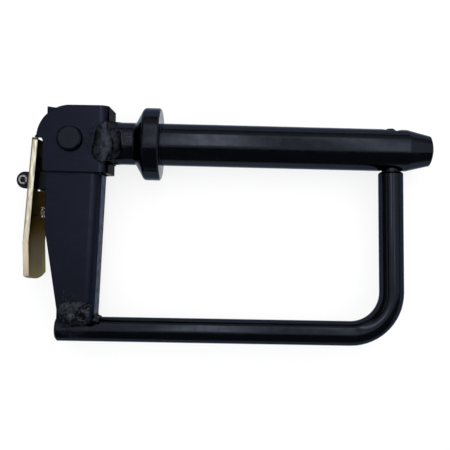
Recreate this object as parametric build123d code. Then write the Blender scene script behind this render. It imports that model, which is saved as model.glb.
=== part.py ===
from build123d import *
import os
from math import cos, radians, sin, sqrt, tan

# Frame: +X runs along the pin towards its nose, +Y points away from the handle, and +Z stands off the
# side the pin lies on. The origin is on the pin's axis, in the collar's seating face. Millimetres.

# --- fits ---------------------------------------------------------------------------------------
RUNNING_GAP = 0.05        # radial play where one piece turns on another
SWING_GAP = 0.25          # side play between the handle's channel and the bracket's ears

# --- turned pin ---------------------------------------------------------------------------------
SHANK_R = 14.0
SHANK_LENGTH = 144.0      # full-size part of the shank, ahead of the collar
SHANK_TAPER = 0.2         # radius lost from there to the nose, to lead the pin in
NOSE_START = 163.1
NOSE_CONE_END = 178.3
NOSE_CONE_R = 10.05
NOSE_TIP = 180.8
COLLAR_R = 24.0
COLLAR_RIM_ROUND = 2.6
COLLAR_SEAT_CHAMFER = 1.0
NECK_R = 14.0
NECK_END = -33.0
SHOULDER_START = -16.5    # where the 60 degree shoulder leaves the neck
SHOULDER_ROUND = 1.5
LOCK_HOLE_X = 152.9
LOCK_HOLE_D = 13.5

# --- head bracket: folded sheet -----------------------------------------------------------------
SHEET = 4.0
PIVOT_X = -57.0
PIVOT_Y = 0.4
BRACKET_WIDTH = 35.0
BRACKET_BEND_OUT = 5.2
BRACKET_EAR_R = 21.7
BRACKET_TOP_RISE = 0.2    # the ears' top edge climbs this much towards the web
BRACKET_BOTTOM_Y = -20.8
BRACKET_HEEL_X = -74.5    # left edge below the ledge
BRACKET_HEEL_ROUND = 2.0
NIB_R = 22.5
NIB_ANGLE = 177.5         # the nib's corner, seen from the pivot
NIB_RAMP_ANGLE = 174.0
LEDGE_Y = 0.9             # flat that the lever's tip stops against
LEDGE_ROOT_R = 2.3        # inside corner where the ledge meets the left edge

# --- pivot pin ----------------------------------------------------------------------------------
PIVOT_D = 16.0
PIVOT_PROUD = 4.2
PIVOT_CHAMFER = 1.2

# --- handle channel -----------------------------------------------------------------------------
ARM_BEND_OUT = 6.0
ARM_WEB_X = -36.9         # outer face of the web, level with the pin's axis
ARM_LEAN = 1.85           # degrees, the channel's back leans in towards the foot
ARM_WEB_TOP_Y = -21.4
ARM_EDGE_X = -73.0        # free edges of the flanges
ARM_EDGE_END_Y = -57.0
ARM_FOOT_X = -64.0
ARM_SLANT_END_Y = -110.0
ARM_FOOT_Y = -117.0
ARM_SWEEP_R = 19.1        # nothing of the channel's head reaches farther from the pivot than this
ARM_STOP_ANGLE = 83.5     # the head's top edge, which meets the bracket's web when open

# --- handle rod ---------------------------------------------------------------------------------
ROD_D = 16.4
ROD_START_X = -67.0
ROD_Y = -123.75           # height of the bottom leg's centre below the pin's middle, at x = 0
ROD_SLOPE = 0.0075
LEG_SLOPE = 0.0335        # sideways lean of the lock leg for each unit of height
ROD_BEND_R = 27.3
ROD_END_CHAMFER = 1.2
LEG_TOP_Y = -15.7
LEG_SHOULDER = 1.2
SPIGOT_D = 12.0
SPIGOT_CONE_Y = 11.2
SPIGOT_TIP_Y = 14.3
SPIGOT_TIP_D = 4.6

# --- latch lever: folded zinc plate ----------------------------------------------------------------
LEVER_THICK = 3.7
LEVER_WIDTH = 40.0
LEVER_TIP_X = -76.9       # inner face at the top end
LEVER_TIP_Y = 0.3
LEVER_LEAN = 3.77         # degrees, upper part
LEVER_BEND_Y = -67.0
LEVER_LEAN_LOW = 2.5      # degrees, lower part, the other way
LEVER_END_Y = -91.1
LEVER_END_SAG = 3.1       # the lower end is this much shorter at its corners
POCKET_DEPTH = 2.0
POCKET_WIDTH = 36.0
POCKET_END_Y = -10.2
LEVER_EDGE_BREAK = 0.5

# --- fork, roll pin and spring --------------------------------------------------------------------
FULCRUM_X = -88.0
FULCRUM_Y = -26.3
ROLL_PIN_D = 6.0
ROLL_PIN_BORE = 3.0
ROLL_PIN_LENGTH = 25.0
ROLL_PIN_SLIT = 0.8
ROLL_PIN_TURN = -50.0     # degrees, where the slit faces
FORK_HEIGHT = 11.0
FORK_IN = 3.6
FORK_OUT = 8.0
FORK_BASE = 4.0
FORK_SIDE_GAP = 0.6
SLOT_ABOVE = 0.1          # lever against the fork's top: the rest stop
SLOT_BELOW = 1.5          # what the lever may rock before it meets the fork's underside
KNUCKLE_R = 4.8
KNUCKLE_HALF_WIDTH = 3.2
TONGUE_TUCK = 0.6         # the tongue stops this far inside the knuckle
SPRING_Y = -47.0
SPRING_OD = 7.2
SPRING_WIRE = 1.0
SPRING_PITCH = 2.0
SPRING_END_GAP = 0.25
POST_D = 9.0
POST_END_X = -62.5
POST_SPIGOT_D = 4.6
POST_SPIGOT_LENGTH = 8.0

# --- welds --------------------------------------------------------------------------------------
# Each patch of weld is drawn as shares of its own box: along X from its left end, up Y from its foot.
HEAD_WELD_LEFT_X = -42.0
HEAD_WELD_RIGHT_X = -27.3
HEAD_WELD_TOP_Y = 12.0
HEAD_WELD_BOTTOM_Y = -14.6
HEAD_WELD_PROUD = 2.2     # above the ear's face, at the crest
HEAD_WELD_CREST = 5.5     # from the left end to the crest
HEAD_WELD_OUTLINE = [
    (0.0, 0.33), (0.03, 0.58), (0.15, 0.82), (0.38, 0.95), (0.66, 1.0),
    (1.0, 0.86), (1.0, 0.28), (0.7, 0.1), (0.4, 0.0), (0.12, 0.1),
]
NECK_BEAD = 0.6
NECK_BEAD_LENGTH = 6.5
FOOT_WELD_LEFT_X = -63.4
FOOT_WELD_RIGHT_X = -41.5
FOOT_WELD_RISE = 11.05    # above the rod's top
FOOT_WELD_DROP = 6.95     # below the rod's top
FOOT_WELD_PROUD = 1.6
FOOT_WELD_CREST = 7.5     # from the top down to the crest
FOOT_WELD_OUTLINE = [
    (0.0, 0.3), (0.0, 0.62), (0.12, 0.92), (0.42, 1.0), (0.76, 0.98), (0.96, 0.86),
    (1.0, 0.55), (0.94, 0.3), (0.7, 0.17), (0.42, 0.13), (0.2, 0.0), (0.05, 0.06),
]
FOOT_WELD_WALL = 4.5
FOOT_WELD_WALL_GAP = 1.0  # weld left standing inside each flange
FOOT_CORNER_R = 3.2       # hollow fillet between the web's outside and the rod
FOOT_CORNER_LAP = 3.0     # how far that fillet reaches on, under the web and down the rod

# Derived sizes shared by several pieces.
CUT = 200.0
BRACKET_HALF = BRACKET_WIDTH / 2
EAR_INNER = BRACKET_HALF - SHEET
ARM_HALF = EAR_INNER - SWING_GAP
ARM_INNER = ARM_HALF - SHEET


def from_pivot(radius, angle):
    """Point at this radius and angle (degrees) round the pivot."""
    return (PIVOT_X + radius * cos(radians(angle)), PIVOT_Y + radius * sin(radians(angle)))


def slab(outline, half_depth):
    """Closed outline in the XY plane, thickened both ways in Z."""
    return extrude(make_face(outline), amount=half_depth, both=True)


def polygon_slab(points, half_depth):
    """Slab with a straight-sided outline."""
    return slab(Polyline(*points, close=True), half_depth)


def block(x0, x1, y0, y1, z0, z1):
    """Box between two corners."""
    box = Box(x1 - x0, y1 - y0, z1 - z0)
    return Pos((x0 + x1) / 2, (y0 + y1) / 2, (z0 + z1) / 2) * box


def weld_patch(outline, left, right, bottom, top, half_depth):
    """Lump with a free outline, given as shares of its box, thickened both ways in Z."""
    points = [(left + along * (right - left), bottom + up * (top - bottom)) for along, up in outline]
    return slab(Spline(*points, periodic=True), half_depth)


def round_bar(diameter, x, y, z0, z1):
    """Cylinder parallel to Z."""
    return Pos(x, y, (z0 + z1) / 2) * Cylinder(diameter / 2, z1 - z0)


def folded_channel(back_x, half_width, bend_out, lean):
    """Channel open towards -X, its back face at back_x on the pin's level, running along Y."""
    bend_in = bend_out - SHEET
    outer = Pos(-CUT / 2, 0) * Rectangle(CUT, 2 * half_width)
    outer = fillet(outer.vertices().sort_by(Axis.X)[-2:], bend_out)
    inner = Pos(-CUT / 2 - SHEET, 0) * Rectangle(CUT, 2 * (half_width - SHEET))
    inner = fillet(inner.vertices().sort_by(Axis.X)[-2:], bend_in)
    section = outer - inner
    direction = Vector(sin(radians(lean)), cos(radians(lean)), 0)
    across = Vector(cos(radians(lean)), -sin(radians(lean)), 0)
    plane = Plane(origin=(back_x, 0, 0), x_dir=across, z_dir=direction)
    return extrude(plane * section, amount=CUT, both=True)


def lock_leg_x(y):
    """Centre of the lock leg at this height."""
    return LOCK_HOLE_X - LEG_SLOPE * y


def lever_inner_x(y):
    """Inner face of the lever at this height."""
    if y >= LEVER_BEND_Y:
        return LEVER_TIP_X - (LEVER_TIP_Y - y) * tan(radians(LEVER_LEAN))
    return lever_inner_x(LEVER_BEND_Y) + (LEVER_BEND_Y - y) * tan(radians(LEVER_LEAN_LOW))


def make_pin_bar():
    """Turned headed pin with its lock hole."""
    rise = COLLAR_R - NECK_R
    shoulder_end = SHOULDER_START + rise / tan(radians(60))
    nose_start_r = SHANK_R - SHANK_TAPER
    sag = NOSE_TIP - NOSE_CONE_END
    dome_r = (NOSE_CONE_R**2 + sag**2) / (2 * sag)
    dome_mid = (NOSE_TIP - dome_r + sqrt(dome_r**2 - (NOSE_CONE_R / 2) ** 2), NOSE_CONE_R / 2)
    outline = Polyline(
        (NECK_END, 0),
        (NECK_END, NECK_R),
        (SHOULDER_START, NECK_R),
        (shoulder_end, COLLAR_R),
        (-COLLAR_SEAT_CHAMFER, COLLAR_R),
        (0, COLLAR_R - COLLAR_SEAT_CHAMFER),
        (0, SHANK_R),
        (SHANK_LENGTH, SHANK_R),
        (NOSE_START, nose_start_r),
        (NOSE_CONE_END, NOSE_CONE_R),
    )
    dome = ThreePointArc((NOSE_CONE_END, NOSE_CONE_R), dome_mid, (NOSE_TIP, 0))
    axis_line = Line((NOSE_TIP, 0), (NECK_END, 0))
    section = make_face([outline, dome, axis_line])
    rim = section.vertices().sort_by_distance((shoulder_end, COLLAR_R))[0]
    section = fillet(rim, COLLAR_RIM_ROUND)
    root = section.vertices().sort_by_distance((SHOULDER_START, NECK_R))[0]
    section = fillet(root, SHOULDER_ROUND)
    bar = revolve(section, Axis.X, 360)
    lock_hole = Pos(LOCK_HOLE_X, 0, 0) * Rot(90, 0, 0) * Cylinder(LOCK_HOLE_D / 2, 4 * SHANK_R)
    return bar - lock_hole


def make_head_bracket():
    """Folded U with round ears, a ledge and nib for the lever, and the pivot hole."""
    nib = from_pivot(NIB_R, NIB_ANGLE)
    ramp = from_pivot(BRACKET_EAR_R, NIB_RAMP_ANGLE)
    crown = from_pivot(BRACKET_EAR_R, 90)
    arc = ThreePointArc(crown, from_pivot(BRACKET_EAR_R, 135), ramp)
    edge = Polyline(
        ramp,
        nib,
        (nib[0], LEDGE_Y),
        (BRACKET_HEEL_X, LEDGE_Y),
        (BRACKET_HEEL_X, BRACKET_BOTTOM_Y),
        (NECK_END, BRACKET_BOTTOM_Y),
        (NECK_END, crown[1] + BRACKET_TOP_RISE),
        crown,
    )
    side = make_face([arc, edge])
    heel = side.vertices().sort_by_distance((BRACKET_HEEL_X, BRACKET_BOTTOM_Y))[0]
    side = fillet(heel, BRACKET_HEEL_ROUND)
    ledge_root = side.vertices().sort_by_distance((BRACKET_HEEL_X, LEDGE_Y))[0]
    side = fillet(ledge_root, LEDGE_ROOT_R)
    ears = extrude(side, amount=BRACKET_HALF, both=True)
    channel = folded_channel(NECK_END, BRACKET_HALF, BRACKET_BEND_OUT, 0)
    pivot_hole = round_bar(PIVOT_D, PIVOT_X, PIVOT_Y, -CUT, CUT)
    return (ears & channel) - pivot_hole


def make_pivot_pin():
    """Round pin pressed through both ears, its chamfered ends standing proud."""
    half = BRACKET_HALF + PIVOT_PROUD
    pin = round_bar(PIVOT_D, PIVOT_X, PIVOT_Y, -half, half)
    return chamfer(pin.edges().filter_by(GeomType.CIRCLE), PIVOT_CHAMFER)


def make_head_weld(pin_bar, bracket):
    """Weld lapped over both folds onto the ears, running out on the neck, with a thin bead round it."""
    lap = weld_patch(
        HEAD_WELD_OUTLINE,
        HEAD_WELD_LEFT_X,
        HEAD_WELD_RIGHT_X,
        HEAD_WELD_BOTTOM_Y,
        HEAD_WELD_TOP_Y,
        BRACKET_HALF + HEAD_WELD_PROUD,
    )
    neck_skin = NECK_R + NECK_BEAD
    crest_x = HEAD_WELD_LEFT_X + HEAD_WELD_CREST
    top_bow = Spline(
        (HEAD_WELD_LEFT_X, BRACKET_HALF),
        (crest_x, BRACKET_HALF + HEAD_WELD_PROUD),
        (HEAD_WELD_RIGHT_X, neck_skin),
    )
    right_line = Line((HEAD_WELD_RIGHT_X, neck_skin), (HEAD_WELD_RIGHT_X, -neck_skin))
    left_line = Line((HEAD_WELD_LEFT_X, BRACKET_HALF), (HEAD_WELD_LEFT_X, -BRACKET_HALF))
    bow_face = make_face([top_bow, right_line, mirror(top_bow, Plane.XZ), left_line])
    bowed = extrude(Plane.XZ * bow_face, CUT, both=True)
    flank_line = Polyline(
        (HEAD_WELD_LEFT_X, 0),
        (HEAD_WELD_LEFT_X, CUT),
        (NECK_END, neck_skin + (HEAD_WELD_RIGHT_X - NECK_END)),
        (HEAD_WELD_RIGHT_X, neck_skin),
        (HEAD_WELD_RIGHT_X, 0),
        close=True,
    )
    flank = revolve(make_face(flank_line), Axis.X, 360)
    bead_line = Polyline(
        (NECK_END - SHEET / 2, 0),
        (NECK_END - SHEET / 2, neck_skin),
        (NECK_END, neck_skin),
        (NECK_END + NECK_BEAD_LENGTH, NECK_R),
        (NECK_END + NECK_BEAD_LENGTH, 0),
        close=True,
    )
    bead = revolve(make_face(bead_line), Axis.X, 360)
    inside_half = EAR_INNER + SHEET / 2
    inside = block(PIVOT_X, NECK_END - SHEET / 2, -CUT, CUT, -inside_half, inside_half)
    return (lap & bowed & flank) + bead - inside - bracket - pin_bar


def make_handle_arm(rod):
    """Folded channel: two flanges that turn on the pivot pin, and a back that stops below the bracket."""
    back_lean = tan(radians(ARM_LEAN))
    stop = from_pivot(ARM_SWEEP_R, ARM_STOP_ANGLE)
    corner_rise = (stop[0] - ARM_EDGE_X) / tan(radians(ARM_STOP_ANGLE))
    corner = (ARM_EDGE_X, stop[1] + corner_rise)
    right = from_pivot(ARM_SWEEP_R, 0)
    web_top_x = ARM_WEB_X + ARM_WEB_TOP_Y * back_lean
    flat_end_x = web_top_x - ARM_BEND_OUT

    # Head: flat flanges between the bracket's ears.
    head_edge = Polyline(
        right,
        (right[0], ARM_WEB_TOP_Y),
        (ARM_EDGE_X, ARM_WEB_TOP_Y),
        corner,
        stop,
    )
    head_arc = ThreePointArc(stop, from_pivot(ARM_SWEEP_R, ARM_STOP_ANGLE / 2), right)
    head = slab([head_edge, head_arc], ARM_HALF)
    head -= block(-CUT, CUT, -CUT, CUT, -ARM_INNER, ARM_INNER)

    # Body: the folded channel below the bracket, tapering to the foot.
    body = polygon_slab(
        [
            (ARM_EDGE_X, ARM_WEB_TOP_Y),
            (ARM_EDGE_X, ARM_EDGE_END_Y),
            (ARM_FOOT_X, ARM_SLANT_END_Y),
            (ARM_FOOT_X, ARM_FOOT_Y),
            (NECK_END, ARM_FOOT_Y),
            (NECK_END, ARM_WEB_TOP_Y),
        ],
        ARM_HALF,
    )
    body &= folded_channel(ARM_WEB_X, ARM_HALF, ARM_BEND_OUT, ARM_LEAN)
    relief_d = 2 * SHEET
    relief = block(flat_end_x, NECK_END, ARM_WEB_TOP_Y, ARM_WEB_TOP_Y + relief_d, -ARM_INNER, ARM_INNER)
    rod_gap = block(-CUT, CUT, -CUT, ROD_Y + ROD_D / 2, -ARM_INNER, ARM_INNER)
    arm = head + body - relief - rod_gap - rod
    hole_d = PIVOT_D + 2 * RUNNING_GAP
    return arm - round_bar(hole_d, PIVOT_X, PIVOT_Y, -CUT, CUT)


def make_handle_rod():
    """Bent round rod: bottom leg, one bend, lock leg with a shouldered and pointed spigot."""
    corner_y = (ROD_Y + ROD_SLOPE * LOCK_HOLE_X) / (1 + ROD_SLOPE * LEG_SLOPE)
    corner = (lock_leg_x(corner_y), corner_y)
    start = (ROD_START_X, ROD_Y + ROD_SLOPE * ROD_START_X)
    top = (lock_leg_x(LEG_TOP_Y), LEG_TOP_Y)
    path = FilletPolyline(start, corner, top, radius=ROD_BEND_R)
    start_plane = Plane(origin=path @ 0, z_dir=path % 0)
    rod = sweep(start_plane * Circle(ROD_D / 2), path=path)
    near_start = rod.edges().filter_by(GeomType.CIRCLE).sort_by(Axis.X)[0]
    rod = chamfer(near_start, ROD_END_CHAMFER)

    # Spigot, turned on the lock leg's own axis.
    stretch = sqrt(1 + LEG_SLOPE**2)
    cone_at = (SPIGOT_CONE_Y - LEG_TOP_Y) * stretch
    tip_at = (SPIGOT_TIP_Y - LEG_TOP_Y) * stretch
    profile = Polyline(
        (0, -LEG_SHOULDER),
        (ROD_D / 2, -LEG_SHOULDER),
        (ROD_D / 2, 0),
        (ROD_D / 2 - LEG_SHOULDER, LEG_SHOULDER),
        (SPIGOT_D / 2, LEG_SHOULDER),
        (SPIGOT_D / 2, cone_at),
        (SPIGOT_TIP_D / 2, tip_at),
        (0, tip_at),
        close=True,
    )
    leg_up = Vector(-LEG_SLOPE, 1, 0)
    leg_plane = Plane(origin=(top[0], top[1], 0), x_dir=Vector(1, LEG_SLOPE, 0), z_dir=Vector(0, 0, 1))
    spigot = revolve(leg_plane * make_face(profile), Axis((top[0], top[1], 0), leg_up), 360)
    return rod + spigot


def make_foot_weld(arm, rod):
    """Weld over both flanges' lower ends and round the rod's end, with a fillet behind the web."""
    half = ARM_HALF + FOOT_WELD_PROUD
    rod_top = ROD_Y + ROD_D / 2
    top = rod_top + FOOT_WELD_RISE
    bottom = rod_top - FOOT_WELD_DROP
    patch = weld_patch(FOOT_WELD_OUTLINE, FOOT_WELD_LEFT_X, FOOT_WELD_RIGHT_X, bottom, top, half)

    # Hollow fillet in the corner that the web's outer face makes with the rod.
    corner_x = ARM_WEB_X + rod_top * tan(radians(ARM_LEAN))
    fillet_x = corner_x + FOOT_CORNER_R
    fillet_y = rod_top + FOOT_CORNER_R
    lap = FOOT_CORNER_LAP
    corner = block(corner_x - lap, fillet_x, rod_top - lap, fillet_y, -half, half)
    corner -= round_bar(2 * FOOT_CORNER_R, fillet_x, fillet_y, -CUT, CUT)

    # Seen end on, the weld bulges past the flanges and runs down onto the rod.
    bulge = Spline((-ARM_HALF, top), (-half, top - FOOT_WELD_CREST), (-ROD_D / 2, bottom))
    bottom_line = Line((-ROD_D / 2, bottom), (ROD_D / 2, bottom))
    top_line = Line((-ARM_HALF, top), (ARM_HALF, top))
    end_face = make_face([bulge, bottom_line, mirror(bulge, Plane.YZ), top_line])
    end_plane = Plane(origin=(-CUT, 0, 0), x_dir=(0, 0, 1), z_dir=(-1, 0, 0))
    across = extrude(end_plane * end_face, amount=-2 * CUT)
    inner = ARM_INNER - FOOT_WELD_WALL_GAP
    hollow = block(FOOT_WELD_LEFT_X + FOOT_WELD_WALL, corner_x - SHEET / 2, -CUT, CUT, -inner, inner)
    return ((patch + corner) & across) - hollow - arm - rod


def make_lever_lug(arm):
    """Fork inside the channel that reaches through the lever and holds the roll pin."""
    back = NECK_END
    half = FORK_HEIGHT / 2
    prongs = block(FULCRUM_X, back, FULCRUM_Y - half, FULCRUM_Y + half, -FORK_OUT, FORK_OUT)
    prongs += round_bar(FORK_HEIGHT, FULCRUM_X, FULCRUM_Y, -FORK_OUT, FORK_OUT)
    base_face_x = ARM_WEB_X + FULCRUM_Y * tan(radians(ARM_LEAN)) - SHEET
    gap = block(-CUT, base_face_x - FORK_BASE, -CUT, CUT, -FORK_IN, FORK_IN)
    trim = block(base_face_x + SHEET / 2, CUT, -CUT, CUT, -CUT, CUT)
    fork = prongs - gap - trim - arm
    return fork - round_bar(ROLL_PIN_D, FULCRUM_X, FULCRUM_Y, -CUT, CUT)


def make_roll_pin():
    """Spring pin rolled from strip, open along a slit."""
    half = ROLL_PIN_LENGTH / 2
    pin = round_bar(ROLL_PIN_D, FULCRUM_X, FULCRUM_Y, -half, half)
    pin = chamfer(pin.edges().filter_by(GeomType.CIRCLE), LEVER_EDGE_BREAK)
    pin -= round_bar(ROLL_PIN_BORE, FULCRUM_X, FULCRUM_Y, -CUT, CUT)
    slit = block(0, ROLL_PIN_D, -ROLL_PIN_SLIT / 2, ROLL_PIN_SLIT / 2, -CUT, CUT)
    return pin - Pos(FULCRUM_X, FULCRUM_Y) * Rot(0, 0, ROLL_PIN_TURN) * slit


def make_latch_lever():
    """Bent plate with a rounded end, a thinned tip, a slot and a knuckle on the roll pin."""
    lean = radians(LEVER_LEAN)
    lean_low = radians(LEVER_LEAN_LOW)
    bend_x = lever_inner_x(LEVER_BEND_Y)
    outer_top = LEVER_THICK / cos(lean)
    outer_low = LEVER_THICK / cos(lean_low)
    bend_half = (lean + lean_low) / 2
    outer_bend_y = LEVER_BEND_Y + LEVER_THICK * sin(lean - bend_half)
    plate = polygon_slab(
        [
            (LEVER_TIP_X, LEVER_TIP_Y),
            (bend_x, LEVER_BEND_Y),
            (lever_inner_x(LEVER_END_Y), LEVER_END_Y),
            (lever_inner_x(LEVER_END_Y) - outer_low, LEVER_END_Y),
            (bend_x - LEVER_THICK / cos(bend_half), outer_bend_y),
            (LEVER_TIP_X - outer_top, LEVER_TIP_Y),
        ],
        LEVER_WIDTH / 2,
    )

    # Lower end rounded across the width.
    half_width = LEVER_WIDTH / 2
    end_plane = Plane(origin=(0, 0, 0), x_dir=(0, 0, 1), z_dir=(-1, 0, 0))
    rounded = Line((-half_width, LEVER_END_Y + LEVER_END_SAG), (-half_width, CUT))
    rounded_far = Line((half_width, LEVER_END_Y + LEVER_END_SAG), (half_width, CUT))
    end_arc = ThreePointArc(
        (-half_width, LEVER_END_Y + LEVER_END_SAG),
        (0, LEVER_END_Y),
        (half_width, LEVER_END_Y + LEVER_END_SAG),
    )
    top_line = Line((-half_width, CUT), (half_width, CUT))
    front = make_face([rounded, rounded_far, end_arc, top_line])
    plate &= extrude(end_plane * front, amount=CUT)
    by_depth = plate.edges().filter_by(Plane.XY).group_by(Axis.Z)
    sheared = by_depth[0] + by_depth[-1]
    plate = chamfer([e for e in sheared if e.length > SHEET], LEVER_EDGE_BREAK)

    # Pocket that thins the tip where it hooks over the bracket's nib.
    pocket = polygon_slab(
        [
            (LEVER_TIP_X + SHEET, LEVER_TIP_Y + SHEET),
            (lever_inner_x(LEVER_TIP_Y + SHEET) - POCKET_DEPTH, LEVER_TIP_Y + SHEET),
            (lever_inner_x(POCKET_END_Y) - POCKET_DEPTH, POCKET_END_Y),
            (LEVER_TIP_X + SHEET, POCKET_END_Y - POCKET_DEPTH),
        ],
        POCKET_WIDTH / 2,
    )

    # Slot over the fork, with a tongue left standing that curls out to the knuckle.
    slot_top = FULCRUM_Y + FORK_HEIGHT / 2 + SLOT_ABOVE
    slot_bottom = FULCRUM_Y - FORK_HEIGHT / 2 - SLOT_BELOW
    slot_half = FORK_OUT + FORK_SIDE_GAP
    slot = block(-CUT, CUT, slot_bottom, slot_top, -slot_half, slot_half)
    tongue_end = FULCRUM_Y - KNUCKLE_R + TONGUE_TUCK
    inner_x = lever_inner_x(FULCRUM_Y)
    tongue = polygon_slab(
        [
            (FULCRUM_X, tongue_end),
            (lever_inner_x(tongue_end), tongue_end),
            (lever_inner_x(slot_top), slot_top),
            (lever_inner_x(slot_top) - outer_top, slot_top),
            (FULCRUM_X, FULCRUM_Y + KNUCKLE_R),
        ],
        KNUCKLE_HALF_WIDTH,
    )
    knuckle = round_bar(2 * KNUCKLE_R, FULCRUM_X, FULCRUM_Y, -KNUCKLE_HALF_WIDTH, KNUCKLE_HALF_WIDTH)
    bore_d = ROLL_PIN_D + 2 * RUNNING_GAP
    bore = round_bar(bore_d, FULCRUM_X, FULCRUM_Y, -CUT, CUT)
    return plate - pocket - slot + tongue + knuckle - bore


def make_spring_post(arm):
    """Turned post on the channel's back, with a spigot that centres the spring."""
    foot_x = ARM_WEB_X + SPRING_Y * tan(radians(ARM_LEAN)) - SHEET / 2
    post = Pos((POST_END_X + foot_x) / 2, SPRING_Y, 0) * Rot(0, 90, 0) * Cylinder(
        POST_D / 2, foot_x - POST_END_X
    )
    spigot_end = POST_END_X - POST_SPIGOT_LENGTH
    spigot = Pos((spigot_end + POST_END_X) / 2, SPRING_Y, 0) * Rot(0, 90, 0) * Cylinder(
        POST_SPIGOT_D / 2, POST_SPIGOT_LENGTH
    )
    spigot = chamfer(spigot.edges().sort_by(Axis.X)[0], LEVER_EDGE_BREAK)
    return post + spigot - arm


def make_lever_spring():
    """Open coil spring between the post and the lever."""
    outer_end = lever_inner_x(SPRING_Y + SPRING_OD / 2) + SPRING_END_GAP
    length = POST_END_X - outer_end - SPRING_WIRE
    coil_r = (SPRING_OD - SPRING_WIRE) / 2
    start = (POST_END_X - SPRING_WIRE / 2, SPRING_Y, 0)
    path = Helix(SPRING_PITCH, length, coil_r, center=start, direction=(-1, 0, 0))
    wire_plane = Plane(origin=path @ 0, z_dir=path % 0)
    return sweep(wire_plane * Circle(SPRING_WIRE / 2), path=path, is_frenet=True)


def save(name, shape):
    """Write one piece to its own file, its solids only."""
    solids = shape.solids()
    piece = solids[0] if len(solids) == 1 else Compound(children=solids)
    piece.label = name
    export_step(piece, os.path.join("parts", name + ".step"))


os.makedirs("parts", exist_ok=True)

pin_bar = make_pin_bar()
head_bracket = make_head_bracket()
handle_rod = make_handle_rod()
handle_arm = make_handle_arm(handle_rod)

save("pin_bar", pin_bar)
save("head_bracket", head_bracket)
save("head_weld", make_head_weld(pin_bar, head_bracket))
save("pivot_pin", make_pivot_pin())
save("handle_arm", handle_arm)
save("handle_rod", handle_rod)
save("foot_weld", make_foot_weld(handle_arm, handle_rod))
save("lever_lug", make_lever_lug(handle_arm))
save("roll_pin", make_roll_pin())
save("latch_lever", make_latch_lever())
save("spring_post", make_spring_post(handle_arm))
save("lever_spring", make_lever_spring())
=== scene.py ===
"""Looks of a hitch pin with a swinging rod handle and a sprung latch lever.

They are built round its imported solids. Lengths are metres in the frame's own axes: +X along the
pin to its nose, +Y away from the handle, +Z off the side the pin lies on.
"""

import math

import bmesh
import bpy
from mathutils import Matrix, Vector, noise


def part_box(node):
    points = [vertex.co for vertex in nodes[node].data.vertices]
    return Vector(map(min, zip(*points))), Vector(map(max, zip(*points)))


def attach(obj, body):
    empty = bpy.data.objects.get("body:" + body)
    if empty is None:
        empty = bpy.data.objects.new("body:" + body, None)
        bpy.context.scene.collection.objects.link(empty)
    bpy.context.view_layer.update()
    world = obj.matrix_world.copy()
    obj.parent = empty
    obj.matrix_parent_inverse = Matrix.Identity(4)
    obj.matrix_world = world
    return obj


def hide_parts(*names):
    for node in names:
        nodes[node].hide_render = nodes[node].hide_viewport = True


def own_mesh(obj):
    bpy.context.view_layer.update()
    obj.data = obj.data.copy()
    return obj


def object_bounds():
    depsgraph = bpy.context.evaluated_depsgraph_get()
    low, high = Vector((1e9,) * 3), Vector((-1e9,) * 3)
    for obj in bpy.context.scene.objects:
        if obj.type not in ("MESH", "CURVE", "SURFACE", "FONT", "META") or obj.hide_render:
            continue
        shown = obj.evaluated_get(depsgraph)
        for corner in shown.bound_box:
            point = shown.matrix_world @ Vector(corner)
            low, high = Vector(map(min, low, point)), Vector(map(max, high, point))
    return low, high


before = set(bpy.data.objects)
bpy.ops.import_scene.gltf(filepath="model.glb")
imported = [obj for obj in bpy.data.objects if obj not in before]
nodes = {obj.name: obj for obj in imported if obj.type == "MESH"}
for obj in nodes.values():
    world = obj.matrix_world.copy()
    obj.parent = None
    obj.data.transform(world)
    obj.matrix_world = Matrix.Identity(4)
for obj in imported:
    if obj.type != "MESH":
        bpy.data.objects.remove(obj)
solid_box = [list(corner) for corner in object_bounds()]
MM = 0.001


# Pin: one turned steel bar with a 60 degree shoulder, a collar and a chamfered nose, cross-drilled
# for the lock leg. Black gloss enamel over the turned surface, so faint rings still show in it.
# Its finish, and every later one, is a Finish, and what varies over the surface is a Signal.

class Signal:
    """A number or colour that varies over a surface. Arithmetic on it adds Math nodes."""

    def __init__(self, finish, socket):
        self.finish = finish
        self.socket = socket

    def __add__(self, other):
        return self.finish.math("ADD", self, other)

    def __radd__(self, other):
        return self.finish.math("ADD", other, self)

    def __sub__(self, other):
        return self.finish.math("SUBTRACT", self, other)

    def __rsub__(self, other):
        return self.finish.math("SUBTRACT", other, self)

    def __mul__(self, other):
        return self.finish.math("MULTIPLY", self, other)

    def __rmul__(self, other):
        return self.finish.math("MULTIPLY", other, self)


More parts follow.
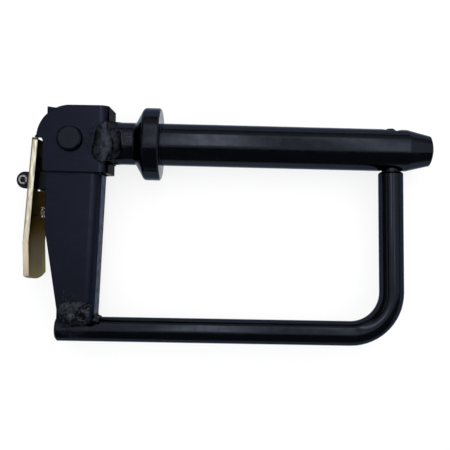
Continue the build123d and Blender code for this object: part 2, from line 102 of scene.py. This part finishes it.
class Finish:
    """One surface finish: a material and the nodes that make it."""

    def __init__(self, name):
        self.material = bpy.data.materials.new(name)
        self.material.use_nodes = True
        self.tree = self.material.node_tree
        self.tree.nodes.clear()
        self.place = self.node("ShaderNodeTexCoord", output="Object")

    def node(self, kind, settings=None, inputs=None, output=0):
        """Adds a node: its settings first, then the values or links of its sockets."""
        made = self.tree.nodes.new(kind)
        for name, value in (settings or {}).items():
            if name == "stops":
                while len(made.color_ramp.elements) < len(value):
                    made.color_ramp.elements.new(0.5)
                for element, (at, colour) in zip(made.color_ramp.elements, value):
                    element.position = at
                    element.color = (*colour, 1.0)
            else:
                setattr(made, name, value)
        by_id = {socket.identifier: socket for socket in made.inputs}
        for name, value in (inputs or {}).items():
            socket = by_id[name] if name in by_id else made.inputs[name]
            if isinstance(value, Signal):
                self.tree.links.new(value.socket, socket)
            else:
                socket.default_value = value
        if output is None:
            return None
        by_id = {socket.identifier: socket for socket in made.outputs}
        return Signal(self, by_id[output] if output in by_id else made.outputs[output])

    def math(self, operation, first, second):
        """A Math node of two values or signals."""
        return self.node("ShaderNodeMath", {"operation": operation}, {0: first, 1: second})

    def size_of(self, signal):
        """A signal without its sign."""
        return self.math("ABSOLUTE", signal, 0.0)

    def noise(self, size, detail=2.0, stretch=(1.0, 1.0, 1.0)):
        """Soft random field from 0 to 1. Its lumps have this size, stretched along each axis."""
        scale = [1 / (size * s) for s in stretch]
        placed = self.node("ShaderNodeMapping", {}, {"Vector": self.place, "Scale": scale})
        inputs = {"Vector": placed, "Scale": 1.0, "Detail": detail}
        return self.node("ShaderNodeTexNoise", {}, inputs)

    def between(self, signal, low, high, to_low=0.0, to_high=1.0):
        """Stretches the part of a signal between two values smoothly over another range."""
        inputs = {
            "Value": signal,
            "From Min": low,
            "From Max": high,
            "To Min": to_low,
            "To Max": to_high,
        }
        return self.node("ShaderNodeMapRange", {"interpolation_type": "SMOOTHSTEP"}, inputs)

    def mix(self, share, first, second):
        """Colour part of the way from one colour to another."""
        colours = [c if isinstance(c, Signal) else (*c, 1.0) for c in (first, second)]
        inputs = {"Factor_Float": share, "A_Color": colours[0], "B_Color": colours[1]}
        return self.node("ShaderNodeMix", {"data_type": "RGBA"}, inputs, output="Result_Color")

    def axis(self, name):
        """One object coordinate, in metres."""
        return self.node("ShaderNodeSeparateXYZ", {}, {"Vector": self.place}, output=name)

    def near(self, x, y, full, none):
        """1 within the distance `full` of a line along Z, fading to 0 at `none`."""
        in_plan = {0: self.place, 1: (1, 1, 0)}
        flat = self.node("ShaderNodeVectorMath", {"operation": "MULTIPLY"}, in_plan)
        ends = {0: flat, 1: (x, y, 0)}
        away = self.node("ShaderNodeVectorMath", {"operation": "DISTANCE"}, ends, output="Value")
        return self.between(away, full, none, 1.0, 0.0)

    def relief(self, height, depth, edge):
        """Bumps of this depth, over edges that are eased to this radius."""
        eased = self.node("ShaderNodeBevel", {"samples": 8}, {"Radius": edge})
        inputs = {"Height": height, "Distance": depth, "Normal": eased}
        return self.node("ShaderNodeBump", {}, inputs)

    def shader(self, **sockets):
        """The surface shader with these sockets fed."""
        inputs = {name.replace("_", " "): value for name, value in sockets.items()}
        return self.node("ShaderNodeBsdfPrincipled", {}, inputs)

    def finished(self, shader):
        """Puts a shader out as the surface and gives the material."""
        self.node("ShaderNodeOutputMaterial", {}, {"Surface": shader}, output=None)
        return self.material

    def surface(self, **sockets):
        """Material with one surface shader."""
        return self.finished(self.shader(**sockets))


BAR_BLACK = (0.0152, 0.0173, 0.0226)
DUSTY_GREY = (0.065, 0.067, 0.074)


def enamel(
    name, gloss, base=BAR_BLACK, peel=0.02 * MM, edge=0.35 * MM, rim=0.45,
    turned=False, drawn=False, spatter=(),
):
    """Black gloss enamel: orange peel, faint flow marks, dull handled patches and caught dust.

    The peel is how deep its bumps are, the edge how far its corners are eased, and the rim how
    much of the room it mirrors at a low angle. Rings of turning or lines of drawing may show
    through it. Spatter lies round lines along Z, each given by x, y, and how far out it stays
    full and where it ends.
    """
    peel_size, flow_size, hand_size = 1.6 * MM, 14 * MM, 5 * MM
    dust_size, line_size, grain_size = 0.5 * MM, 0.7 * MM, 0.9 * MM
    # Heights, where the orange peel's is 1.
    flow_height, ring_height, line_height, grain_height = 0.8, 0.6, 1.2, 10.0
    # Where the rod bends up into its leg, along X.
    bend_start, bend_end = 132 * MM, 146 * MM

    finish = Finish(name)
    orange_peel = finish.noise(peel_size, detail=1.0)
    flow = finish.noise(flow_size, detail=3.0)
    handled = finish.noise(hand_size, detail=4.0)
    dust = finish.between(finish.noise(dust_size), 0.70, 0.78)
    height = orange_peel + flow_height * flow
    if turned:
        height = height + ring_height * finish.noise(line_size, stretch=(1.0, 30.0, 30.0))
    if drawn:
        in_leg = finish.between(finish.axis("X"), bend_start, bend_end)
        low_lines = finish.noise(line_size, stretch=(40.0, 1.0, 1.0))
        leg_lines = finish.noise(line_size, stretch=(1.0, 40.0, 1.0))
        height = height + line_height * (low_lines * (1.0 - in_leg) + leg_lines * in_leg)
    dull = finish.between(handled, 0.35, 0.75)
    pale = 0.35 * dust
    for x, y, full, none in spatter:
        grains = finish.between(finish.noise(grain_size, detail=3.0), 0.52, 0.68)
        close = finish.near(x, y, full, none)
        height = height + grain_height * grains * close
        dull = dull + 0.6 * close
        pale = pale + 0.8 * grains * close
    thick, thin = [c * 0.9 for c in base], [c * 1.15 for c in base]
    return finish.surface(
        Base_Color=finish.mix(pale, finish.mix(flow, thick, thin), DUSTY_GREY),
        Roughness=gloss + 0.12 * dull + 0.2 * dust,
        Metallic=1.0 - dust,
        Specular_Tint=(0.95 * rim, rim, 1.12 * rim, 1.0),
        Normal=finish.relief(height, peel, edge),
    )


def coat(piece, material):
    """Gives a piece one finish all over."""
    piece.data.materials.clear()
    piece.data.materials.append(material)


neck_spatter = (-24 * MM, 2 * MM, 4 * MM, 8 * MM)
turned_enamel = enamel(
    "turned enamel", gloss=0.13, peel=0.012 * MM, edge=0.9 * MM, rim=0.55, turned=True,
    spatter=[neck_spatter],
)
coat(nodes["pin_bar"], turned_enamel)


# Head bracket: 4 mm sheet folded to a U, its ears rounded about the pivot, stepped for the lever.
# Blanked and folded, then enamelled, so the flats are duller than the turned pin; their bluer base
# is a painted reflection of bluish room light.

# Painted reflection: this base is bluer than the bar enamel's, for the bluish light the flats
# mirror.
SHEET_BLACK = (0.0122, 0.0143, 0.0228)
lap_spatter = (-35 * MM, -1 * MM, 9 * MM, 15 * MM)
sheet_enamel = enamel(
    "sheet enamel", gloss=0.27, base=SHEET_BLACK, peel=0.03 * MM, edge=0.6 * MM, rim=0.22,
    spatter=[lap_spatter],
)
coat(nodes["head_bracket"], sheet_enamel)


# Pivot pin: 16 mm bar pressed through both ears, with its ends chamfered and left proud.
# Enamelled with the bracket.

coat(nodes["pivot_pin"], enamel("pivot enamel", gloss=0.25, edge=0.5 * MM))


# Head weld: arc weld that joins the neck to the bracket. It laps over both folds in broad lumps
# and slopes down on to the neck. The enamel is grey and grainy where it stretched thin over them.

def mesh_object(name, shape):
    """Object at the origin that takes over a bmesh."""
    data = bpy.data.meshes.new(name)
    shape.to_mesh(data)
    shape.free()
    made = bpy.data.objects.new(name, data)
    bpy.context.scene.collection.objects.link(made)
    return made


def weld_metal(name, solid, beads, grid, roughness, seed, clear=()):
    """Weld metal: the solid's envelope with beads melted into it, its skin rippled by noise.

    A bead is a ball with a centre, three radii and a lean about Y. The metal is kept out of the
    clear boxes, each given by its low and high corners.
    """
    envelope = bmesh.new()
    envelope.from_mesh(solid.data)
    bmesh.ops.remove_doubles(envelope, verts=envelope.verts, dist=0.001 * MM)
    for centre, radii, lean in beads:
        stretch = Matrix.Diagonal((*radii, 1.0))
        place = Matrix.Translation(centre) @ Matrix.Rotation(lean, 4, "Y") @ stretch
        bmesh.ops.create_icosphere(envelope, subdivisions=3, radius=1.0, matrix=place)
    piece = mesh_object(name, envelope)
    melt = piece.modifiers.new("melt", "REMESH")
    melt.mode = "VOXEL"
    melt.voxel_size = grid
    settle = piece.modifiers.new("settle", "SMOOTH")
    settle.factor = 0.5
    settle.iterations = 3
    cutters = []
    for low, high in clear:
        box = bmesh.new()
        place = Matrix.Translation((low + high) / 2) @ Matrix.Diagonal((*(high - low), 1.0))
        bmesh.ops.create_cube(box, size=1.0, matrix=place)
        cutter = mesh_object(name + "_clear", box)
        trim = piece.modifiers.new("trim", "BOOLEAN")
        trim.operation = "DIFFERENCE"
        trim.object = cutter
        cutters.append(cutter)
    shown = piece.evaluated_get(bpy.context.evaluated_depsgraph_get())
    melted = bpy.data.meshes.new_from_object(shown)
    piece.modifiers.clear()
    piece.data = melted
    for cutter in cutters:
        bpy.data.objects.remove(cutter)
    broad_ripple, fine_ripple = 2.2 * MM, 1.0 * MM
    skin = bmesh.new()
    skin.from_mesh(melted)
    skin.normal_update()
    offset = Vector((seed, seed, seed))
    for vertex in skin.verts:
        ripple = noise.noise(vertex.co / broad_ripple + offset)
        ripple += 0.5 * noise.noise(vertex.co / fine_ripple + offset)
        vertex.co += vertex.normal * ripple * roughness
    for face in skin.faces:
        face.smooth = True
    skin.to_mesh(melted)
    skin.free()
    return piece


def weld_enamel(name, thin_colour, lump, depth):
    """Enamel over a weld, in patches of this size: grey and grainy where it stretched thin."""
    full_colour = (0.016, 0.0175, 0.0235)
    finish = Finish(name)
    grain = finish.noise(0.8 * MM, detail=4.0)
    patches = finish.noise(lump, detail=3.0)
    thin = finish.between(patches, 0.4, 0.65)
    return finish.surface(
        Base_Color=finish.mix(thin, full_colour, thin_colour),
        Roughness=0.24 + 0.2 * thin,
        Metallic=1.0 - 0.1 * thin,
        Specular_Tint=(0.3, 0.3, 0.3, 1.0),
        Normal=finish.relief(grain + patches, depth, edge=0.1 * MM),
    )


ear_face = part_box("head_bracket")[1].z
lump_depth = 2.1 * MM
head_beads = []
for side in (-1, 1):
    for x, y, rise, width, height in (
        (-37.6, -6.6, 0.0, 5.2, 7.0),
        (-36.2, 2.6, 0.2, 4.8, 8.0),
        (-34.6, -3.2, 0.1, 5.4, 9.4),
    ):
        centre = Vector((x * MM, y * MM, side * (ear_face + rise * MM)))
        head_beads.append((centre, (width * MM, height * MM, lump_depth), 0.0))
    slope = Vector((-30.0 * MM, -1.2 * MM, side * 14.6 * MM))
    head_beads.append((slope, (8.4 * MM, 9.8 * MM, 3.0 * MM), side * math.radians(32)))
head_weld = weld_metal(
    "head_weld_run", nodes["head_weld"], head_beads, grid=0.4 * MM, roughness=0.14 * MM, seed=3.1
)
head_weld_enamel = weld_enamel(
    "head weld enamel", (0.026, 0.029, 0.037), lump=2.8 * MM, depth=0.07 * MM
)
coat(head_weld, head_weld_enamel)
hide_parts("head_weld")
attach(head_weld, "pin")


# Handle channel: 4 mm sheet folded to a channel and tapered to the foot, turning between the ears.
# Same enamel as the bracket.

foot_spatter = (-59 * MM, -105 * MM, 5 * MM, 9 * MM)
channel_enamel = enamel(
    "channel enamel", gloss=0.28, base=SHEET_BLACK, peel=0.03 * MM, edge=0.6 * MM,
    spatter=[foot_spatter],
)
coat(nodes["handle_arm"], channel_enamel)


# Handle rod: drawn 16 mm bar bent once, the top of its leg necked down to the spigot that stands
# in the pin's cross hole. Draw lines still show through the enamel, with spatter by the foot.

rod_spatter = (-55 * MM, -119 * MM, 7 * MM, 13 * MM)
rod_enamel = enamel(
    "rod enamel", gloss=0.14, peel=0.014 * MM, rim=0.5, drawn=True, spatter=[rod_spatter]
)
coat(nodes["handle_rod"], rod_enamel)


# Foot weld: one run along both flanges' ends and round the rod's end, put down in fat overlapping
# lumps, with a crater and a smaller pit where the arc was broken off.

flange_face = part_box("handle_arm")[1].z


def round_bead(centre, radius):
    """A round bead, its radius in millimetres."""
    return centre, (radius * MM, radius * MM, radius * MM), 0.0


def bead_row(first, last, count, radius):
    """Round beads set evenly from one place to another, in millimetres."""
    return [
        round_bead(Vector(first).lerp(Vector(last), step / (count - 1)) * MM, radius)
        for step in range(count)
    ]


def crater(x, y, lift, ring, count, radius):
    """Round beads set in a ring that stands this far off the flange, in millimetres."""
    beads = []
    for step in range(count):
        turn = 2 * math.pi * step / count
        centre = Vector((x + ring * math.cos(turn), y + ring * math.sin(turn), lift)) * MM
        centre.z += flange_face
        beads.append(round_bead(centre, radius))
    return beads


foot_beads = []
for side in (-1, 1):
    hump = Vector((-56.2 * MM, -115.4 * MM, side * (flange_face + 0.3 * MM)))
    foot_beads.append((hump, (5.4 * MM, 4.4 * MM, 2.7 * MM), 0.0))
foot_beads += crater(-46.9, -113.9, lift=1.0, ring=3.1, count=11, radius=1.5)
foot_beads += crater(-42.7, -108.1, lift=1.1, ring=1.4, count=8, radius=0.65)
foot_beads += bead_row((-48.2, -109.4, 14.2), (-43.4, -106.6, 13.9), count=6, radius=1.2)
foot_beads += bead_row((-49.8, -120.4, 8.0), (-43.6, -118.0, 11.6), count=7, radius=1.1)

# The run stops short of the channel's two folds and of a strip of its back.
bare_strips = [
    (Vector(low) * MM, Vector(high) * MM)
    for low, high in (
        ((-42.2, -121, 8.2), (-30, -108, 16)),
        ((-42.2, -121, -16), (-30, -108, -8.2)),
        ((-40.6, -121, -8.3), (-30, -108, -3.5)),
    )
]
foot_weld = weld_metal(
    "foot_weld_run", nodes["foot_weld"], foot_beads, grid=0.35 * MM, roughness=0.1 * MM, seed=7.7,
    clear=bare_strips,
)
foot_weld_enamel = weld_enamel(
    "foot weld enamel", (0.030, 0.033, 0.039), lump=1.9 * MM, depth=0.09 * MM
)
coat(foot_weld, foot_weld_enamel)
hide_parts("foot_weld")
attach(foot_weld, "handle")


# Lever fork and spring post: cut and turned steel welded inside the channel before enamelling.
# The enamel is duller in there, where the spray hardly reached.

inner_enamel = enamel("inner enamel", gloss=0.3)
coat(nodes["lever_lug"], inner_enamel)
coat(nodes["spring_post"], inner_enamel)


# Roll pin: strip rolled to a slotted tube and driven through the fork. Bare spring steel, with
# the wall of its bore painted near black as shade.

def bare_steel(name, colour, roughness, bore=None):
    """Plain steel with fine draw marks and darker oil stains, with painted shade, near black,
    inside a bore.
    """
    finish = Finish(name)
    drawn = finish.noise(0.5 * MM, stretch=(1.0, 1.0, 8.0))
    oil = finish.noise(3 * MM, detail=3.0)
    tone_and_shade = finish.mix(oil, colour, [c * 0.55 for c in colour])
    if bore:
        # Painted shade: the wall of the bore is painted near black, for the shade down the hole.
        tone_and_shade = finish.mix(finish.near(*bore), tone_and_shade, (0.01, 0.01, 0.01))
    return finish.surface(
        Base_Color=tone_and_shade,
        Metallic=0.85,
        Roughness=roughness + 0.15 * oil,
        Normal=finish.relief(drawn, depth=0.01 * MM, edge=0.15 * MM),
    )


roll_pin_low, roll_pin_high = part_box("roll_pin")
fulcrum = (roll_pin_low + roll_pin_high) / 2
# Painted shade: where the bore's wall is painted near black.
shaded_bore = (fulcrum.x, fulcrum.y, 1.7 * MM, 2.0 * MM)
coat(nodes["roll_pin"], bare_steel("roll pin steel", (0.40, 0.40, 0.39), 0.3, bore=shaded_bore))


# Lever spring: round wire coiled open, its last turn at each end closed. It seats on the post's
# spigot and shortens as the lever is pressed.

wire = 1.0 * MM
open_turns = 6
closed_pitch = 1.15 * wire
TURN_STEPS = 28
WIRE_SIDES = 10
spring_low, spring_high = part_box("lever_spring")
spring_y = (spring_low.y + spring_high.y) / 2
coil_r = (spring_high.y - spring_low.y - wire) / 2
travel = spring_high.x - spring_low.x - wire
open_pitch = (travel - 2 * closed_pitch) / open_turns

quarter = math.radians(90)
wire_end = (
    Matrix.Translation((spring_high.x - wire / 2, spring_y + coil_r, 0))
    @ Matrix.Rotation(quarter, 4, "Z")
    @ Matrix.Rotation(quarter, 4, "Y")
    @ Matrix.Rotation(quarter, 4, "X")
)
coils = bmesh.new()
bmesh.ops.create_circle(
    coils, cap_ends=False, segments=WIRE_SIDES, radius=wire / 2, matrix=wire_end
)
end = [*coils.edges, *coils.verts]
for turns, pitch in ((1, closed_pitch), (open_turns, open_pitch), (1, closed_pitch)):
    spun = bmesh.ops.spin(
        coils,
        geom=end,
        cent=(0, spring_y, 0),
        axis=(1, 0, 0),
        dvec=(-pitch / TURN_STEPS, 0, 0),
        angle=math.radians(360 * turns),
        steps=turns * TURN_STEPS,
        use_duplicate=False,
    )
    last = spun["geom_last"]
    end = [g for g in last if isinstance(g, bmesh.types.BMEdge)]
    end += [g for g in last if isinstance(g, bmesh.types.BMVert)]
bmesh.ops.holes_fill(coils, edges=[e for e in coils.edges if e.is_boundary], sides=0)
bmesh.ops.recalc_face_normals(coils, faces=coils.faces)
for face in coils.faces:
    face.smooth = len(face.verts) == 4
spring = mesh_object("spring_coils", coils)
coat(spring, bare_steel("spring wire", (0.5, 0.5, 0.48), 0.2))
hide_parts("lever_spring")
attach(spring, "handle")
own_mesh(spring)


# Latch lever: plate bent once, its tip thinned to pass the bracket's nib, rocking on the roll pin.
# Yellow-passivated zinc: pale straw on the sheared edges, olive and plum on the rolled faces.

def passivated_zinc(name, plate):
    """Zinc under a yellow chromate film: straw sheared edges, olive and plum rolled faces.

    The inner face lies within a skin of two planes that meet at the bend: each plane is its place
    at y = 0 and how far it steps in for each unit of -y. Its upper part has painted shade, and
    towards its end it is painted lighter as a painted reflection of the lit floor.
    """
    streak_colour, shaded_corner_colour = (0.50, 0.44, 0.32), (0.26, 0.23, 0.15)
    rubbed_colour, tail_colour = (0.70, 0.60, 0.45), (0.34, 0.28, 0.22)
    top_end_colour, inner_shade_colour = (0.08, 0.075, 0.04), (0.050, 0.046, 0.045)
    plum, far_edge_highlight_colour = (0.180, 0.148, 0.155), (0.30, 0.30, 0.17)
    # The upper olive is darker and the lower lighter: a painted reflection of the lit floor
    # towards the lever's end.
    upper_olive, lower_olive = (0.165, 0.160, 0.140), (0.24, 0.235, 0.165)
    mid_line, flat_end, edge_start = -2 * MM, 19.3 * MM, 19.6 * MM

    finish = Finish(name)
    film = finish.noise(16 * MM, detail=3.0)
    bloom = finish.noise(0.9 * MM, detail=3.0, stretch=(0.8, 9.0, 1.0))
    sheared = finish.noise(0.45 * MM, detail=3.0, stretch=(1.5, 6.0, 2.0))
    straw = finish.node(
        "ShaderNodeValToRGB",
        {"stops": [
            (0.25, (0.72, 0.68, 0.50)),
            (0.45, (0.88, 0.86, 0.70)),
            (0.60, (0.79, 0.73, 0.58)),
            (0.80, (0.82, 0.81, 0.63)),
        ]},
        {"Fac": film},
    )

    # Where on the plate: how deep in from its inner face, how far off its middle, how far down.
    x, y, z = (finish.axis(name) for name in "XYZ")
    upper, lower = (place + lean * y for place, lean in plate)
    depth_in = finish.math("MAXIMUM", upper, lower) - x
    inside = finish.between(depth_in, 2.6 * MM, 3.2 * MM, 1.0, 0.0)
    # Painted shade: the outer corner of the sheared edges is darker, where the edge rounds away
    # from the light.
    shaded_outer_corner = finish.between(depth_in, 2.2 * MM, 3.1 * MM)
    rolled = finish.between(finish.size_of(z), flat_end, edge_start, 1.0, 0.0)
    off_centre = finish.between(finish.size_of(z - mid_line), 3 * MM, 11 * MM)
    # Darker at the very top end of the lever.
    top_end = finish.between(y, -1.8 * MM, -0.6 * MM)
    below_bend = finish.between(y, -50 * MM, -70 * MM)
    toward_end = finish.between(y, -50 * MM, -79 * MM)
    at_end = finish.between(y, -74 * MM, -92 * MM)
    # Painted highlight: a lighter streak near the far edge at the lower end.
    far_edge_highlight = finish.between(z, -9 * MM, -16 * MM) * finish.between(y, -70 * MM, -84 * MM)

    # Painted reflection: the olive is lighter towards the end of the lever.
    olive = finish.mix(at_end, upper_olive, lower_olive)
    film_and_painted_light = finish.mix(finish.math("MAXIMUM", off_centre, at_end), plum, olive)
    # Painted highlight along the far edge.
    film_and_painted_light = finish.mix(0.5 * far_edge_highlight, film_and_painted_light, far_edge_highlight_colour)
    # Painted shade: the inner face is near black on its upper part, fading out towards the end.
    tone_and_shade = finish.mix(toward_end, inner_shade_colour, film_and_painted_light)

    streaked = finish.mix(finish.between(bloom, 0.42, 0.62), straw, streak_colour)
    # Painted shade along the outer corner of the edges.
    streaked = finish.mix(shaded_outer_corner, streaked, shaded_corner_colour)
    streaked = finish.mix(below_bend, streaked, rubbed_colour)
    streaked = finish.mix(0.5 * at_end, streaked, tail_colour)
    # Darker at the top end.
    streaked = finish.mix(top_end, streaked, top_end_colour)
    return finish.surface(
        Base_Color=finish.mix(inside * rolled, streaked, tone_and_shade),
        Metallic=0.8 + 0.2 * rolled,
        Roughness=0.32 + 0.2 * sheared - 0.22 * rolled,
        Specular_Tint=(0.35, 0.33, 0.28, 1.0),
        Normal=finish.relief(sheared, depth=0.05 * MM, edge=0.15 * MM),
    )


lever_upper = (-76.92 * MM, 0.0659)
lever_lower = (-84.26 * MM, -0.0437)
coat(nodes["latch_lever"], passivated_zinc("passivated zinc", (lever_upper, lever_lower)))


# Floor: a wide pale sheet that the pin lies on. It glows where it is seen, so that it stays white
# and its shadows faint without throwing more light up on to the pin.

GLOW_SHARE = 0.8
FLOOR_HALF = 40.0


def floor_finish():
    """White sheet with a barely visible tooth, mostly glowing where it is seen or mirrored."""
    hollow_white, tooth_white = (0.93, 0.93, 0.93), (0.95, 0.95, 0.95)
    finish = Finish("white sheet")
    tooth = finish.noise(4 * MM)
    sheet = finish.shader(
        Base_Color=finish.mix(tooth, hollow_white, tooth_white),
        Roughness=0.8,
        Specular_IOR_Level=0.1,
    )
    white_light = {"Color": (1.0, 1.0, 1.0, 1.0), "Strength": 1.0}
    glow = finish.node("ShaderNodeEmission", {}, white_light)
    seen = [
        finish.node("ShaderNodeLightPath", output=ray)
        for ray in ("Is Camera Ray", "Is Glossy Ray", "Is Transmission Ray")
    ]
    share = GLOW_SHARE * (seen[0] + seen[1] + seen[2])
    shown = finish.node("ShaderNodeMixShader", {}, {"Fac": share, 1: sheet, 2: glow})
    return finish.finished(shown)


floor_sheet = bmesh.new()
floor_place = Matrix.Translation((0, 0, solid_box[0][2]))
bmesh.ops.create_grid(
    floor_sheet, x_segments=1, y_segments=1, size=FLOOR_HALF, matrix=floor_place
)
floor = mesh_object("floor", floor_sheet)
coat(floor, floor_finish())


# Light: a wide dim panel overhead draws the band along the shank and the rod. Three tubes lift it
# by the collar and the nose and draw the streak down the leg, two walls light the edges, and a
# broad fill, kept out of reflections, sets the level.

def lamp(name, place, aim, size, brightness, glossy=True):
    """Area lamp at a place, aimed at a point. Its power follows its size and its brightness."""
    data = bpy.data.lights.new(name, "AREA")
    data.shape = "RECTANGLE"
    data.size, data.size_y = size
    data.energy = brightness * math.pi * size[0] * size[1]
    made = bpy.data.objects.new(name, data)
    bpy.context.scene.collection.objects.link(made)
    made.location = place
    made.rotation_euler = (Vector(aim) - Vector(place)).to_track_quat("-Z", "Y").to_euler()
    made.visible_glossy = glossy


lamp("panel", (0.8, 0.65, 1.0), (0.8, 0.65, 0.0), (2.6, 1.9), 0.82)
lamp("tube over the collar", (0.0, 0.72, 0.98), (0.0, 0.72, 0.0), (0.16, 1.6), 3.6)
lamp("tube over the nose", (0.42, 0.68, 0.98), (0.42, 0.68, 0.0), (0.2, 1.68), 1.8)
lamp("tube over the lever", (-1.15, -0.2, 1.0), (-1.15, -0.2, 0.0), (0.45, 1.6), 0.7)
lamp("nose wall", (2.5, 0.0, 0.35), (0.0, 0.0, 0.1), (3.0, 0.7), 0.8)
lamp("back wall", (0.5, 2.5, 1.2), (0.5, 0.0, 0.2), (4.0, 1.6), 0.45)
lamp("fill", (0.0, 0.0, 1.2), (0.04, -0.05, 0.0), (3.4, 3.4), 0.95, glossy=False)

world = bpy.data.worlds.new("studio")
world.use_nodes = True
room = world.node_tree.nodes["Background"]
room.inputs["Color"].default_value = (0.8, 0.9, 1.0, 1.0)
room.inputs["Strength"].default_value = 0.15
bpy.context.scene.world = world


# Camera: straight above, with the pin turned a little clockwise in the frame.

camera_data = bpy.data.cameras.new("camera")
camera_data.angle = math.radians(38.1)
camera_data.clip_start = 0.01
camera = bpy.data.objects.new("camera", camera_data)
bpy.context.scene.collection.objects.link(camera)
camera.location = (43.79 * MM, -52.53 * MM, 435 * MM)
camera.rotation_euler = (0, 0, math.radians(1.438))
bpy.context.scene.camera = camera
bpy.context.scene.view_settings.view_transform = "Standard"
